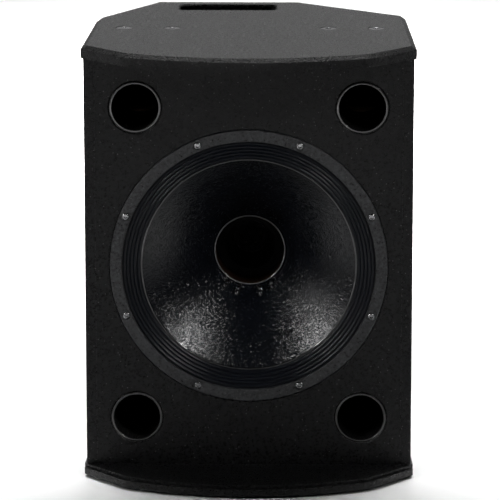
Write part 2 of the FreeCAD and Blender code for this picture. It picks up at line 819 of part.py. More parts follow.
def build_cone():
    """A shell with a flared profile: steep at its neck and flatter towards its rim."""
    cone = woofer_body("cone")
    flare_out = "(cone_rim_inner - former_outer_radius)"
    flare_deep = "(cone_neck_depth - cone_rim_depth)"
    chord = f"sqrt({flare_out}^2 + {flare_deep}^2)"
    radius = f"{chord}^2 / (8 * cone_bulge) + cone_bulge / 2"
    middle = f"(cone_rim_inner + former_outer_radius) / 2 - cone_bulge * {flare_deep} / {chord}"
    middle_depth = f"(cone_rim_depth + cone_neck_depth) / 2 - cone_bulge * {flare_out} / {chord}"
    back = "cone_thickness * 1.4"
    revolve(cone, [("cone_rim_radius", "cone_rim_depth"), ("cone_rim_inner", "cone_rim_depth"),
                   ("former_outer_radius", "cone_neck_depth"),
                   ("former_outer_radius", f"cone_neck_depth + {back}"),
                   ("cone_rim_inner", f"cone_rim_depth + {back}"),
                   ("cone_rim_radius", "cone_rim_depth + cone_thickness")],
            {1: (middle, middle_depth, radius), 3: (middle, f"{middle_depth} + {back}", radius)})


def build_cone_assembly():
    surround = woofer_body("surround")
    lip = "basket_ledge_depth - surround_thickness"
    inner_lip = "cone_rim_depth - surround_thickness"
    front, back = pleats("surround_roll_outer", "surround_roll_inner", lip, inner_lip,
                         "surround_ridge", "surround_thickness", 5)
    revolve(surround, [("surround_outer_radius", lip), *front, ("cone_rim_inner", inner_lip),
                       ("cone_rim_inner", "cone_rim_depth"), *back,
                       ("surround_outer_radius", "basket_ledge_depth")])
    build_cone()
    ring("voice_coil_former", "former_outer_radius - former_thickness", "former_outer_radius",
         "former_front", "former_back - former_front")
    ring("voice_coil", "former_outer_radius", "former_outer_radius + coil_thickness", "coil_front",
         "coil_back - coil_front")
    spider = woofer_body("spider")
    seat = "spider_seat_depth - spider_thickness"
    front, back = pleats("spider_seat_inner", "former_outer_radius + 0.3", seat, "spider_inner_depth",
                         "spider_ridge", "spider_thickness", 6)
    revolve(spider, [("spider_outer_radius", seat), *front, *back, ("spider_outer_radius", "spider_seat_depth")])
    beads = woofer_body("lead_glue_beads")
    for angle in (62, 72, 106, 118):
        across = f"glue_bead_across * cos({angle} deg)"
        down = f"glue_bead_across * sin({angle} deg)"
        revolve(beads, [("0", "glue_bead_depth - glue_bead_radius"),
                        ("glue_bead_radius", "glue_bead_depth"), ("0", "glue_bead_depth")],
                {0: ("glue_bead_radius * sqrt(0.5)", "glue_bead_depth - glue_bead_radius * sqrt(0.5)",
                     "glue_bead_radius")}, across=across, back=down)


def build_motor():
    magnet_depth = "(front_plate_depth + front_plate_thickness)"
    yoke_depth = f"({magnet_depth} + magnet_thickness)"
    yoke_back = f"({yoke_depth} + yoke_thickness)"
    plate = ring("front_plate", "front_plate_bore", "motor_radius", "front_plate_depth", "front_plate_thickness")
    bolts = circle_places("(basket_foot_inner + spider_seat_inner) / 2", 6)
    sketch = new_sketch(plate, "XY_Plane", "front_plate_depth")
    for x, y in bolts:
        circle(sketch, x, y, "motor_bolt_radius")
    pocket(plate, sketch, "front_plate_thickness", along=True)
    ring("magnet", "magnet_bore", "motor_radius", magnet_depth, "magnet_thickness")
    pole = woofer_body("pole_piece")
    revolve(pole, [("throat_front_radius", "front_plate_depth"), ("pole_radius", "front_plate_depth"),
                   ("pole_radius", yoke_depth), ("motor_radius", yoke_depth), ("motor_radius", yoke_back),
                   ("throat_back_radius", yoke_back)])
    tweeter_bolts = circle_places("tweeter_bolt_circle", 4, "45")
    sketch = new_sketch(pole, "XY_Plane", yoke_back)
    for x, y in tweeter_bolts:
        circle(sketch, x, y, "tweeter_bolt_radius")
    pocket(pole, sketch, "tweeter_bolt_reach")
    screws = woofer_body("motor_bolts")
    profile = pin_profile("motor_bolt_radius", "basket_foot_depth + motor_bolt_reach + motor_bolt_head",
                          "motor_bolt_head_radius", "basket_foot_depth", "basket_foot_depth - motor_bolt_head")
    for across, down in bolts:
        revolve(screws, profile, across=across, back=down)
    return yoke_back


def build_tweeter(start):
    """The compression driver, from the back of the pole piece."""
    throat = woofer_body("throat")
    front_outer = "throat_front_radius - throat_gap"
    back_outer = "throat_back_radius - throat_gap"
    revolve(throat, [(f"{front_outer} - throat_wall", "front_plate_depth"), (front_outer, "front_plate_depth"),
                     (back_outer, start), (f"{back_outer} - throat_wall", start)])
    bore = f"{back_outer} - throat_wall"
    plate_back = f"({start} + tweeter_plate_thickness)"
    plate = ring("tweeter_front_plate", bore, "tweeter_plate_radius", start, "tweeter_plate_thickness")
    places = circle_places("tweeter_bolt_circle", 4, "45")
    sketch = new_sketch(plate, "XY_Plane", start)
    for x, y in places:
        circle(sketch, x, y, "tweeter_bolt_radius")
    pocket(plate, sketch, "tweeter_plate_thickness", along=True)
    bolts = woofer_body("tweeter_bolts")
    profile = pin_profile("tweeter_bolt_radius", f"{start} - tweeter_bolt_reach + 0.1", "tweeter_bolt_head_radius",
                          plate_back, f"{plate_back} + tweeter_bolt_head")
    for across, down in places:
        revolve(bolts, profile, across=across, back=down)
    ring("tweeter_housing", "housing_bore", "housing_radius", plate_back, "housing_length")
    plug = woofer_body("phase_plug")
    plug_back = f"({plate_back} + plug_back)"
    revolve(plug, [("0", f"{plate_back} - plug_nose"), ("plug_nose_radius", plate_back),
                   ("plug_radius", plate_back), ("plug_radius", plug_back), ("0", plug_back)])
    sketch = new_sketch(plug, "XY_Plane", plug_back)
    for x, y in circle_places("plug_hole_circle", 6):
        circle(sketch, x, y, "plug_hole_radius")
    pocket(plug, sketch, "plug_back + plug_nose")
    diaphragm = woofer_body("tweeter_diaphragm")
    rest = f"({plug_back} + diaphragm_gap)"
    skin = "diaphragm_thickness"
    dome_back = f"({rest} + diaphragm_dome)"
    revolve(diaphragm, [("0", dome_back), ("diaphragm_dome_radius", rest), ("diaphragm_radius", rest),
                        ("diaphragm_radius", f"{rest} + {skin}"),
                        (f"diaphragm_dome_radius + {skin} / 2", f"{rest} + {skin}"),
                        ("0", f"{dome_back} + {skin}")])
    cover = woofer_body("tweeter_rear_cover")
    cover_front = f"({plate_back} + housing_length)"
    revolve(cover, [("0", cover_front), ("housing_radius", cover_front),
                    ("housing_radius", f"{cover_front} + tweeter_cover_length / 2"),
                    ("tweeter_cover_crown", f"{cover_front} + tweeter_cover_length"),
                    ("0", f"{cover_front} + tweeter_cover_length")])


# Connectors and crossover

REAR_MIDDLE = "(rear_left_edge + rear_right_edge) / 2"


def rear_body(label):
    return face_body(label, REAR_MIDDLE, "body_back", "connector_height")


def plate_screw_places():
    places = []
    for i in (-1, 1):
        for j in (-1, 1):
            places.append((f"{i} * (connector_plate_length / 2 - plate_screw_inset)",
                           f"{j} * (connector_plate_width / 2 - plate_screw_inset)"))
    return places


def build_connectors(rear_panel):
    sockets = [("left_socket", "-socket_pitch / 2"), ("right_socket", "socket_pitch / 2")]
    sketch = new_sketch(rear_panel, "XZ_Plane", "-body_back")
    for _, across in sockets:
        circle(sketch, f"{REAR_MIDDLE} + {across}", "connector_height", "socket_hole_radius")
    pocket(rear_panel, sketch, "wall_thickness", along=True)
    sketch = new_sketch(rear_panel, "XZ_Plane", "-body_back")
    for across, down in plate_screw_places():
        circle(sketch, f"{REAR_MIDDLE} + {across}", f"connector_height - ({down})", "plate_screw_radius")
    pocket(rear_panel, sketch, "plate_screw_length - connector_plate_thickness", along=True)
    plate = rear_body("connector_plate")
    sketch = new_sketch(plate)
    rectangle(sketch, "0", "0", "connector_plate_length", "connector_plate_width", "connector_plate_corner")
    for _, across in sockets:
        circle(sketch, across, "0", "socket_hole_radius")
    for across, down in plate_screw_places():
        circle(sketch, across, down, "plate_screw_radius")
    pad(plate, sketch, "connector_plate_thickness")
    face = "connector_plate_thickness"
    for label, across in sockets:
        body = rear_body(label)
        floor = f"{face} - socket_length + socket_floor"
        revolve(body, [("0", f"{face} - socket_post_recess"), ("socket_post", f"{face} - socket_post_recess"),
                       ("socket_post", floor), ("socket_bore", floor),
                       ("socket_bore", f"{face} + socket_flange"), ("socket_flange_radius", f"{face} + socket_flange"),
                       ("socket_flange_radius", face), ("socket_radius", face),
                       ("socket_radius", f"{face} - socket_length"), ("0", f"{face} - socket_length")],
                across=across)
    screws = rear_body("connector_plate_screws")
    profile = pin_profile("plate_screw_radius", f"{face} - plate_screw_length", "plate_screw_head_radius",
                          face, f"{face} + plate_screw_head")
    for across, down in plate_screw_places():
        revolve(screws, profile, across=across, back=down)


def build_crossover():
    """The filter board on four spacers inside the rear panel, its parts facing forward."""
    panel_face = "body_back - wall_thickness"
    centre_up = "board_bottom + board_height / 2"

    def board_body(label):
        return face_body(label, REAR_MIDDLE, f"{panel_face} - board_gap - board_thickness", centre_up)

    board = board_body("crossover_board")
    sketch = new_sketch(board)
    rectangle(sketch, "0", "0", "board_width", "board_height", "connector_plate_corner")
    pad(board, sketch, "board_thickness")
    spacers = board_body("board_spacers")
    sketch = new_sketch(spacers, "XY_Plane", "board_thickness")
    for i in (-1, 1):
        for j in (-1, 1):
            circle(sketch, f"{i} * (board_width / 2 - spacer_inset)", f"{j} * (board_height / 2 - spacer_inset)",
                   "spacer_radius")
    pad(spacers, sketch, "board_gap")
    for label, across, down, radius in (
            ("bass_inductor", "-board_width / 5", "-board_height / 4", "bass_inductor_radius"),
            ("treble_inductor", "board_width / 4", "-board_height / 4", "treble_inductor_radius")):
        body = board_body(label)
        sketch = new_sketch(body)
        circle(sketch, across, down, radius)
        circle(sketch, across, down, "inductor_bore")
        pad(body, sketch, "inductor_length", back=True)
    capacitors = board_body("capacitors")
    sketch = new_sketch(capacitors)
    for step in (-1, 0, 1):
        circle(sketch, f"{step} * capacitor_pitch", "capacitor_drop", "capacitor_radius")
    pad(capacitors, sketch, "capacitor_length", back=True)
    resistors = board_body("resistors")
    sketch = new_sketch(resistors)
    for step in (-1, 0, 1):
        rectangle(sketch, "0", f"board_height / 3 + {step} * resistor_pitch - 1", "resistor_length",
                  "resistor_width")
    pad(resistors, sketch, "resistor_width", back=True)


def write_parts():
    doc.recompute()
    for item in doc.Objects:
        if "Invalid" in item.State or "Error" in item.State:
            raise RuntimeError(f"{item.Name} is {item.State}")
    for body in parts:
        if body.Shape.isNull() or not body.Shape.isValid() or not body.Shape.Solids:
            raise RuntimeError(f"{body.Label} has no valid solid")
        body.Shape.exportStep(f"parts/{body.Label}.step")


walls = build_walls()
build_top_and_bottom()
build_baffle()
build_braces()
build_linings()
build_ports()
build_handle()
build_fixings()
build_basket()
build_ring_screws()
build_cone_assembly()
build_tweeter(build_motor())
build_connectors(walls["rear_panel"])
build_crossover()
write_parts()
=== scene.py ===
import json
import math
import random

import bmesh
import bpy
from mathutils import Matrix, Vector, noise


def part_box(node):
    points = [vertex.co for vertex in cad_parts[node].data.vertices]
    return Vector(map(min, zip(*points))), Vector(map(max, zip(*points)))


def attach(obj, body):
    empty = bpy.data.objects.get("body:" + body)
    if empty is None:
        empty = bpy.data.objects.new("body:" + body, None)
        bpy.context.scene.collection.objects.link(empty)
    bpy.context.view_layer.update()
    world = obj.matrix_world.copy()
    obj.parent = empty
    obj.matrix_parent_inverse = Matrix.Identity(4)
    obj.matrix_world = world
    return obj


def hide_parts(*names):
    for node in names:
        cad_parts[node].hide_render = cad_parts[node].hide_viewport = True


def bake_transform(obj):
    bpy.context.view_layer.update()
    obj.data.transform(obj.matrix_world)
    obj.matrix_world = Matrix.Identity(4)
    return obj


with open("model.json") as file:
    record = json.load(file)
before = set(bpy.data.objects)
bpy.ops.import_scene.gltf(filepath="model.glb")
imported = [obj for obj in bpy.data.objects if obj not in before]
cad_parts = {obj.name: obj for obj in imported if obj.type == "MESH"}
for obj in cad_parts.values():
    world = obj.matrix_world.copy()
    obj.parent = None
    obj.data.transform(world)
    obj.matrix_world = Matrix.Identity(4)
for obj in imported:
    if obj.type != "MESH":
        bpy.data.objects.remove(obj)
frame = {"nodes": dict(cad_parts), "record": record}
nodes = frame["nodes"]
slots = {part["node"]: part["material_slot"] for part in frame["record"]["subparts"]}
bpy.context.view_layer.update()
scene = bpy.context.scene
scene.view_settings.view_transform = "Standard"

# Both generators are seeded: the glue on the leads is shaped by the second one.
SEED = 7
random.seed(SEED)
noise.seed_set(SEED)

MM = 0.001

# The cone's flare, in millimetres. It lies inside the CAD cone's box, which doesn't give these.
CONE_NECK_DEPTH = 88.0
CONE_RIM_RADIUS = 121.0
CONE_BULGE = 5.0

# Widths of the rounded edges, in millimetres.
PANEL_EDGE = 0.6
FITTING_EDGE = 0.3
BASKET_EDGE = 0.45

# Places read from the frame. A depth counts back from the baffle's front, in millimetres.

baffle_low, baffle_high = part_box("baffle")
basket_low, basket_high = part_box("woofer_basket")
BAFFLE_FRONT = baffle_low.y
AXIS_X = (basket_low.x + basket_high.x) / 2
AXIS_Z = (basket_low.z + basket_high.z) / 2
DRIVER = Matrix(((1, 0, 0, AXIS_X), (0, 0, 1, BAFFLE_FRONT), (0, -1, 0, AXIS_Z), (0, 0, 0, 1)))


def depth_of(node, side):
    """The depth of a node's front (side 0) or back (side 1), in millimetres."""
    return (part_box(node)[side].y - BAFFLE_FRONT) / MM


def radius_of(node):
    low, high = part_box(node)
    return (high.x - low.x) / 2 / MM


FORMER_RADIUS = radius_of("voice_coil_former")
FORMER_FRONT, FORMER_BACK = depth_of("voice_coil_former", 0), depth_of("voice_coil_former", 1)
CONE_RIM_DEPTH = depth_of("cone", 0)
CONE_SLANT = math.hypot(CONE_RIM_RADIUS - FORMER_RADIUS, CONE_NECK_DEPTH - CONE_RIM_DEPTH)


# Camera and light

def make_camera():
    """A long lens, from the front and a little above."""
    focal_length, sensor, far = 259.6, 36, 30
    tilt_down, turn_left = 12.97, 0.911
    data = bpy.data.cameras.new("camera")
    data.lens = focal_length
    data.sensor_width = sensor
    data.clip_end = far
    camera = bpy.data.objects.new("camera", data)
    camera.location = (0.0645, -4.0736, 1.1793)
    camera.rotation_euler = (math.radians(90 - tilt_down), 0, math.radians(turn_left))
    scene.collection.objects.link(camera)
    scene.camera = camera


def make_area(name, location, target, size, power, spread=180):
    """A rectangular light aimed at a target; a small spread keeps its light in a narrow beam."""
    data = bpy.data.lights.new(name, "AREA")
    data.shape = "RECTANGLE"
    data.size, data.size_y = size
    data.energy = power
    data.spread = math.radians(spread)
    light = bpy.data.objects.new(name, data)
    light.location = location
    way = Vector(target) - Vector(location)
    light.rotation_euler = way.to_track_quat("-Z", "Y").to_euler()
    light.visible_camera = False
    scene.collection.objects.link(light)


def make_sun(name, towards, strength, width):
    data = bpy.data.lights.new(name, "SUN")
    data.energy = strength
    data.angle = math.radians(width)
    light = bpy.data.objects.new(name, data)
    light.rotation_euler = Vector(towards).to_track_quat("Z", "Y").to_euler()
    scene.collection.objects.link(light)


def make_world():
    """A dark room with a soft bright patch straight behind the object."""
    world = bpy.data.worlds.new("studio")
    world.use_nodes = True
    tree = world.node_tree
    where = tree.nodes.new("ShaderNodeTexCoord")
    split = tree.nodes.new("ShaderNodeSeparateXYZ")
    tree.links.new(where.outputs["Generated"], split.inputs["Vector"])
    room, patch = 0.014, 0.37
    behind = remap(tree, split.outputs["Y"], 0.78, 1.00, room, patch, smooth=True)
    tree.links.new(behind, tree.nodes["Background"].inputs["Strength"])
    tree.nodes["Background"].inputs["Color"].default_value = (1, 1, 1, 1)
    scene.world = world


def make_studio():
    """A white floor, soft lights for it, and four that shape the object itself."""
    bpy.ops.mesh.primitive_plane_add(size=40)
    floor = bpy.context.object
    floor.name = "floor"
    floor.data.materials.append(plain_material("floor_white", (0.93, 0.93, 0.93), 0.9))
    make_world()
    driver = (0, -0.1, 0.22)
    make_sun("sky", (0, 0.69, 0.72), 0.74, 12)
    make_area("floor_left", (-1.5, 2.7, 3.0), (0, 1.9, 0), (1.2, 1.2), 45, spread=50)
    make_area("floor_right", (1.5, 2.7, 3.0), (0, 1.9, 0), (1.2, 1.2), 45, spread=50)
    make_area("near_left", (-0.55, 0, 1.3), (-0.62, 0, 0), (0.2, 0.6), 2.6, spread=44)
    make_area("near_right", (0.55, 0, 1.3), (0.62, 0, 0), (0.2, 0.6), 2.6, spread=44)
    make_area("floor_front", (-2.4, -2.6, 1.4), (-0.3, -2.2, 0), (1.0, 0.8), 26, spread=50)
    make_area("front_right", (1.36, -1.27, 1.52), driver, (0.42, 0.32), 0.22, spread=13)
    make_area("front_left", (-1.54, -1.24, 1.35), driver, (0.42, 0.32), 0.20, spread=13)
    make_area("graze_left", (-1.3, -0.55, 0.75), (0, -0.11, 0.35), (0.3, 0.5), 2.0)


# Materials

def new_material(name):
    material = bpy.data.materials.new(name)
    material.use_nodes = True
    return material, material.node_tree, material.node_tree.nodes["Principled BSDF"]


def plain_material(name, colour, roughness):
    material, _, shader = new_material(name)
    shader.inputs["Base Color"].default_value = (*colour, 1)
    shader.inputs["Roughness"].default_value = roughness
    return material


def place(tree, stretch=(1, 1, 1)):
    """Coordinates in metres, fixed to the object."""
    where = tree.nodes.new("ShaderNodeTexCoord")
    mapping = tree.nodes.new("ShaderNodeMapping")
    mapping.inputs["Scale"].default_value = stretch
    tree.links.new(where.outputs["Object"], mapping.inputs["Vector"])
    return mapping.outputs["Vector"]


def grain(tree, vector, scale, detail=2.0, roughness=0.5):
    node = tree.nodes.new("ShaderNodeTexNoise")
    node.inputs["Scale"].default_value = scale
    node.inputs["Detail"].default_value = detail
    node.inputs["Roughness"].default_value = roughness
    tree.links.new(vector, node.inputs["Vector"])
    return node.outputs["Fac"]


def remap(tree, value, low, high, to_low, to_high, smooth=False):
    node = tree.nodes.new("ShaderNodeMapRange")
    if smooth:
        node.interpolation_type = "SMOOTHSTEP"
    for socket, number in zip(("From Min", "From Max", "To Min", "To Max"), (low, high, to_low, to_high)):
        node.inputs[socket].default_value = number
    tree.links.new(value, node.inputs["Value"])
    return node.outputs["Result"]


def mix_colour(tree, share, first, second, under=None):
    """Mixes two colours by share; under is a colour socket to take in place of the first."""
    node = tree.nodes.new("ShaderNodeMix")
    node.data_type = "RGBA"
    colours = {socket.name: socket for socket in node.inputs if socket.type == "RGBA"}
    if under is None:
        colours["A"].default_value = (*first, 1)
    else:
        tree.links.new(under, colours["A"])
    colours["B"].default_value = (*second, 1)
    tree.links.new(share, node.inputs[0])
    return next(socket for socket in node.outputs if socket.type == "RGBA")


def bump(tree, shader, height, distance, under=None):
    node = tree.nodes.new("ShaderNodeBump")
    node.inputs["Strength"].default_value = 1.0
    node.inputs["Distance"].default_value = distance
    tree.links.new(height, node.inputs["Height"])
    if under is not None:
        tree.links.new(under, node.inputs["Normal"])
    tree.links.new(node.outputs["Normal"], shader.inputs["Normal"])
    return node.outputs["Normal"]


def specks(tree, vector, scale, size):
    """A mask of scattered round dots; size is their radius in millimetres."""
    cells = tree.nodes.new("ShaderNodeTexVoronoi")
    cells.inputs["Scale"].default_value = scale
    tree.links.new(vector, cells.inputs["Vector"])
    edge = size * MM * scale
    return remap(tree, cells.outputs["Distance"], edge * 0.6, edge, 1, 0)


def textured_paint(name, tone, roughness, specular=0.25, scale=340, height=0.0007, dot_glint_tone=0.14, contrast=0.7):
    """Sprayed structure paint: uneven grains in height and gloss, with raised dots whose paler colour is a
    painted glint on each.
    """
    material, tree, shader = new_material(name)
    vector = place(tree)
    grains = grain(tree, vector, scale, 4.0, 0.7)
    peel = grain(tree, vector, scale * 0.35, 2.0, 0.5)
    fine = grain(tree, vector, scale * 2.3, 2.0, 0.5)
    spread = remap(tree, grains, 0.36, 0.64, 0, 1)
    low, high = (1 - contrast), (1 + contrast)
    colour = mix_colour(tree, spread, tuple(low * c for c in tone), tuple(high * c for c in tone))
    dots_per_metre, dot_radius, dot_height = 170, 0.6, 0.0005
    dots = specks(tree, vector, dots_per_metre, dot_radius)
    # The raised dots are coloured pale: painted glints, standing for light caught by the paint's small
    # grains.
    colour = mix_colour(tree, dots, None, (dot_glint_tone, dot_glint_tone, dot_glint_tone), under=colour)
    tree.links.new(colour, shader.inputs["Base Color"])
    uneven = 0.13
    rough = remap(tree, grains, 0.35, 0.65, roughness - uneven, roughness + uneven)
    tree.links.new(rough, shader.inputs["Roughness"])
    shader.inputs["Specular IOR Level"].default_value = specular
    normal = bump(tree, shader, peel, height * 0.5)
    normal = bump(tree, shader, grains, height, under=normal)
    normal = bump(tree, shader, fine, height * 0.4, under=normal)
    bump(tree, shader, dots, dot_height, under=normal)
    return material


def coated_paper():
    """The cone: pressed fibres under a glossy blue-black coat."""
    material, tree, shader = new_material("coated_paper")
    vector = place(tree)
    swirl = tree.nodes.new("ShaderNodeTexNoise")
    swirl.inputs["Scale"].default_value = 230
    swirl.inputs["Detail"].default_value = 1.5
    swirl.inputs["Roughness"].default_value = 0.6
    swirl.inputs["Distortion"].default_value = 2.6
    tree.links.new(vector, swirl.inputs["Vector"])
    fibres = swirl.outputs["Fac"]
    cloud = grain(tree, vector, 22, 4.0, 0.6)
    tone = remap(tree, cloud, 0.3, 0.7, 0, 1)
    colour = mix_colour(tree, tone, (0.0012, 0.0016, 0.0026), (0.0028, 0.0036, 0.0055))
    tree.links.new(colour, shader.inputs["Base Color"])
    tree.links.new(remap(tree, fibres, 0.3, 0.7, 0.14, 0.28), shader.inputs["Roughness"])
    shader.inputs["Specular IOR Level"].default_value = 0.36
    bump(tree, shader, fibres, 0.00044)
    return material


def doped_cloth():
    material, tree, shader = new_material("doped_cloth")
    vector = place(tree)
    weave = grain(tree, vector, 1500, 2.0, 0.5)
    colour = mix_colour(tree, weave, (0.002, 0.0025, 0.004), (0.005, 0.006, 0.009))
    tree.links.new(colour, shader.inputs["Base Color"])
    shader.inputs["Roughness"].default_value = 0.30
    shader.inputs["Specular IOR Level"].default_value = 0.22
    bump(tree, shader, weave, 0.0001)
    return material


def moulded(name, colour, roughness, scale=1800, height=0.00003, coat=0.0, specular=0.5):
    material, tree, shader = new_material(name)
    vector = place(tree)
    grains = grain(tree, vector, scale, 2.0, 0.5)
    cloud = remap(tree, grain(tree, vector, 35, 3.0, 0.5), 0.3, 0.7, 0, 1)
    tone = mix_colour(tree, cloud, colour, tuple(1.35 * c for c in colour))
    tree.links.new(tone, shader.inputs["Base Color"])
    rough = remap(tree, grains, 0.3, 0.7, roughness * 0.85, roughness * 1.15)
    tree.links.new(rough, shader.inputs["Roughness"])
    bump(tree, shader, grains, height)
    shader.inputs["Coat Weight"].default_value = coat
    shader.inputs["Specular IOR Level"].default_value = specular
    return material


def metal(name, colour, roughness, stretch=(1, 1, 1), scale=900):
    material, tree, shader = new_material(name)
    grains = grain(tree, place(tree, stretch), scale, 3.0, 0.6)
    tone = mix_colour(tree, grains, tuple(0.8 * c for c in colour), colour)
    tree.links.new(tone, shader.inputs["Base Color"])
    rough = remap(tree, grains, 0.3, 0.7, roughness * 0.8, roughness * 1.25)
    tree.links.new(rough, shader.inputs["Roughness"])
    shader.inputs["Metallic"].default_value = 1.0
    bump(tree, shader, grains, 0.00002)
    return material


def fibrous(name, dark, light, scale, height):
    material, tree, shader = new_material(name)
    fuzz = grain(tree, place(tree), scale, 5.0, 0.7)
    tree.links.new(mix_colour(tree, fuzz, dark, light), shader.inputs["Base Color"])
    shader.inputs["Roughness"].default_value = 0.9
    bump(tree, shader, fuzz, height)
    return material


def plywood():
    material, tree, shader = new_material("bare_plywood")
    rings = grain(tree, place(tree, (3, 40, 40)), 8, 5.0, 0.6)
    colour = mix_colour(tree, rings, (0.42, 0.28, 0.15), (0.68, 0.52, 0.33))
    tree.links.new(colour, shader.inputs["Base Color"])
    shader.inputs["Roughness"].default_value = 0.6
    bump(tree, shader, rings, 0.0002)
    return material


def finishes():
    """The material for each of the record's slots."""
    paint = (0.0050, 0.0050, 0.0052)
    return {
        "painted_wood": textured_paint("cabinet_paint", paint, 0.30),
        "baffle_paint": textured_paint("baffle_paint", paint, 0.32),
        "raw_wood": plywood(),
        "wadding": fibrous("wadding", (0.34, 0.33, 0.31), (0.62, 0.61, 0.58), 320, 0.002),
        "port_plastic": moulded("port_plastic", (0.016, 0.016, 0.016), 0.24, coat=0.8),
        "cup_plastic": moulded("cup_plastic", (0.006, 0.006, 0.0065), 0.5, 1200, 0.00008, specular=0.2),
        "zinc_steel": metal("zinc_steel", (0.62, 0.62, 0.64), 0.32),
        # Near black with almost no gloss, so the pole's face stays black down the neck.
        "blackened_steel": moulded("blackened_steel", (0.0015, 0.0015, 0.0015), 0.8, 1400, 0.00005,
                                   specular=0.08),
        "black_screw": metal("black_oxide", (0.30, 0.30, 0.31), 0.24),
        "basket_paint": textured_paint("basket_paint", (0.022, 0.0226, 0.024), 0.40, 0.40, 330, 0.0006, 0.12,
                                       contrast=0.95),
        "gasket_foam": fibrous("gasket_foam", (0.006, 0.006, 0.006), (0.015, 0.015, 0.015), 900, 0.0003),
        "surround_cloth": doped_cloth(),
        "spider_cloth": fibrous("spider_cloth", (0.36, 0.24, 0.09), (0.55, 0.39, 0.18), 1400, 0.0002),
        "cone_paper": coated_paper(),
        "former_film": moulded("amber_film", (0.009, 0.004, 0.002), 0.3, 600, 0.00002, specular=0.3),
        "copper": metal("enamelled_copper", (0.72, 0.33, 0.16), 0.3, (1, 60, 60)),
        "glue": moulded("black_glue", (0.003, 0.003, 0.0035), 0.10, 500, 0.00006, coat=1.0),
        # Pale grey glossy glue for the neck's bead: part glue colour, part a painted highlight giving the
        # bright thin ring round the neck.
        "clear_glue": moulded("clear_glue", (0.075, 0.075, 0.078), 0.14, 500, 0.00006, coat=1.0),
        "ferrite": fibrous("ferrite", (0.025, 0.025, 0.027), (0.05, 0.05, 0.052), 700, 0.0002),
        # Near black with almost no gloss, so the throat stays black down the neck.
        "throat_plastic": moulded("throat_moulding", (0.0015, 0.0015, 0.0015), 0.8, specular=0.08),
        "housing_metal": metal("cast_aluminium", (0.45, 0.45, 0.46), 0.45),
        "titanium": metal("diaphragm_foil", (0.60, 0.57, 0.53), 0.3),
        "board": moulded("board_green", (0.02, 0.12, 0.05), 0.35),
        "nylon": moulded("nylon", (0.60, 0.59, 0.55), 0.4),
        "capacitor_film": moulded("capacitor_film", (0.52, 0.34, 0.04), 0.3, coat=0.3),
        "resistor_body": moulded("resistor_cement", (0.62, 0.60, 0.55), 0.7),
        "plate_paint": textured_paint("powder_coat", (0.014, 0.014, 0.015), 0.42, 0.4, 1600, 0.0001, 0.02),
        "socket_plastic": moulded("socket_moulding", (0.012, 0.012, 0.016), 0.36),
    }


def dress(piece, material):
    piece.data.materials.clear()
    piece.data.materials.append(material)


# Meshes

def polygon_share(angle, sides):
    """How far a regular polygon of circumradius 1 reaches at an angle; 1 for a circle."""
    if not sides:
        return 1.0
    half = math.pi / sides
    return math.cos(half) / math.cos((angle % (2 * half)) - half)


def turn(bm, placing, profile, segments=96, closed=False):
    """Lathes a profile about the local Z of placing.

    Each row of the profile is (radius, height) or (radius, height, sides), in millimetres. An open
    profile is capped at both ends; a closed one joins its last row to its first.
    """
    rings = []
    for row in profile:
        radius, height = row[:2]
        sides = row[2] if len(row) > 2 else 0
        ring = []
        for step in range(segments):
            angle = 2 * math.pi * step / segments
            reach = radius * polygon_share(angle, sides) * MM
            local = Vector((reach * math.cos(angle), reach * math.sin(angle), height * MM))
            ring.append(bm.verts.new(placing @ local))
        rings.append(ring)
    pairs = list(zip(rings, rings[1:]))
    if closed:
        pairs.append((rings[-1], rings[0]))
    else:
        bm.faces.new(rings[0])
        bm.faces.new(rings[-1])
    for first, second in pairs:
        for step in range(segments):
            following = (step + 1) % segments
            bm.faces.new((first[step], first[following], second[following], second[step]))


def finish_piece(name, bm, sharp=35, weighted=False):
    """Turns a bmesh into a smooth-shaded object with its creases kept."""
    bmesh.ops.recalc_face_normals(bm, faces=bm.faces)
    mesh = bpy.data.meshes.new(name)
    bm.to_mesh(mesh)
    bm.free()
    mesh.shade_smooth()
    mesh.set_sharp_from_angle(angle=math.radians(sharp))
    piece = bpy.data.objects.new(name, mesh)
    scene.collection.objects.link(piece)
    if weighted:
        normals = piece.modifiers.new("normals", "WEIGHTED_NORMAL")
        normals.keep_sharp = True
    return piece


def stand_in(piece, *replaced, body="cabinet"):
    """piece replaces CAD nodes, takes the first one's slot, and rides on their body."""
    slot = slots[replaced[0]]
    dress(piece, MATERIALS[slot])
    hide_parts(*replaced)
    if body:
        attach(piece, body)


def softened(node, width, segments=3, smallest=25):
    """A copy of a CAD node's mesh with its sharp edges rounded."""
    bm = bmesh.new()
    bm.from_mesh(nodes[node].data)
    bmesh.ops.remove_doubles(bm, verts=bm.verts, dist=0.001 * MM)
    bmesh.ops.dissolve_limit(bm, angle_limit=math.radians(0.2), verts=bm.verts, edges=bm.edges)
    bmesh.ops.recalc_face_normals(bm, faces=bm.faces)
    creases = []
    for edge in bm.edges:
        if len(edge.link_faces) == 2 and edge.calc_face_angle(0) > math.radians(smallest):
            creases.append(edge)
    bmesh.ops.bevel(bm, geom=creases, offset=width * MM, offset_type="OFFSET", segments=segments,
                    profile=0.5, affect="EDGES", clamp_overlap=True)
    return finish_piece(node + "_soft", bm, weighted=True)


def make_panels():
    """The CAD's own shapes with their edges rounded."""
    for panel in ("top_panel", "bottom_panel", "left_side_panel", "right_side_panel", "left_rear_panel",
                  "rear_panel", "right_rear_panel", "baffle"):
        stand_in(softened(panel, PANEL_EDGE), panel)
    for piece in ("handle_cup", "connector_plate", "left_socket", "right_socket"):
        stand_in(softened(piece, FITTING_EDGE), piece)
    stand_in(softened("woofer_basket", BASKET_EDGE), "woofer_basket")


